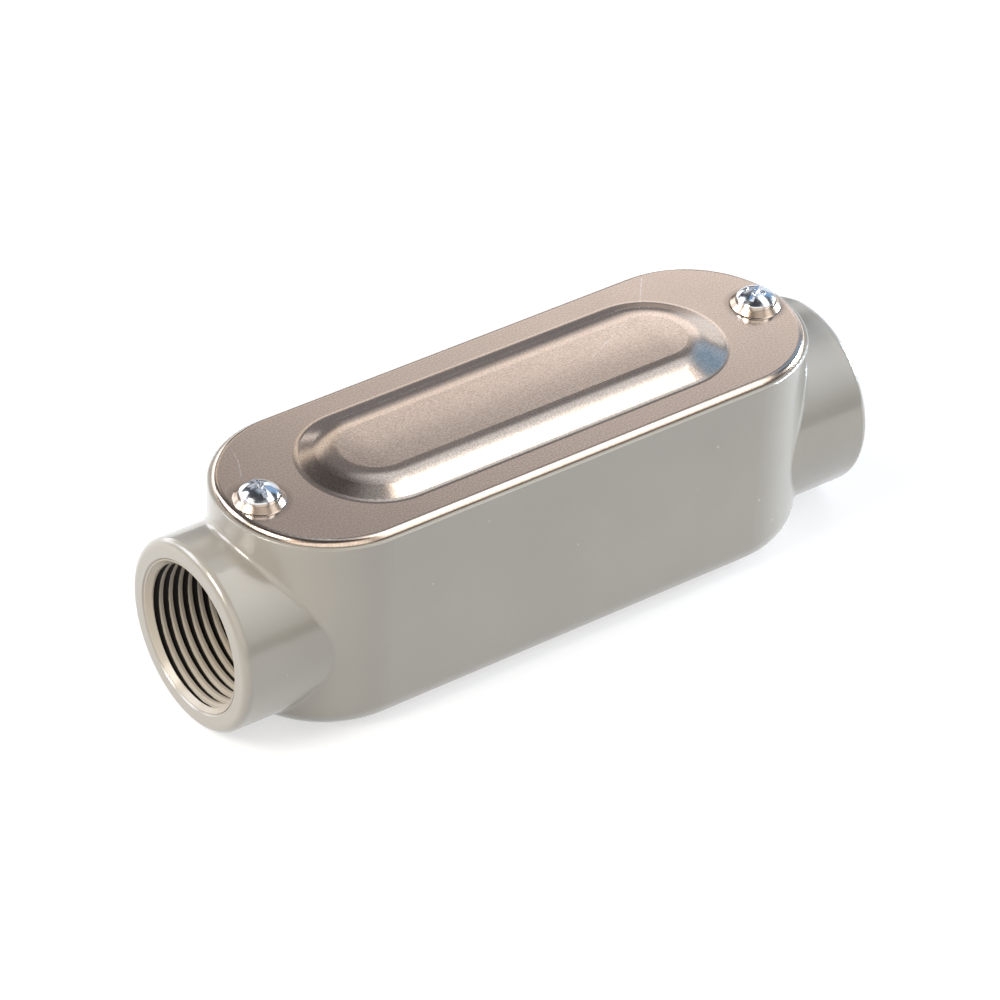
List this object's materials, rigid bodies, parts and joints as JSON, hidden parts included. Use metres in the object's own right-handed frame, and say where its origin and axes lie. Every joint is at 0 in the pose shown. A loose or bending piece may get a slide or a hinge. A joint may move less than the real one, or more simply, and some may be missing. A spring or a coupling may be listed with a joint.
{
  "type": "conduit body",
  "caption": "Straight-through conduit body: oblong cast trough with a threaded hub at each end and a screwed sheet cover with a raised panel.",
  "frame": {"origin": "middle of the flat back, which is the lowest face", "axes": "+X along the conduit from the left hub to the right hub, +Z out through the cover, +Y to the far long side"},
  "size_m": [0.1264, 0.0378, 0.0414],
  "materials": {
    "casting": "semi-gloss beige-grey baked paint",
    "gasket": "matte sheet gasket",
    "cover": "satin plated sheet",
    "screw": "bright plated"
  },
  "bodies": {
    "root": {"casting": "casting", "gasket": "gasket", "cover": "cover", "cover_screw_left": "screw", "cover_screw_right": "screw"}
  },
  "joints": []
}
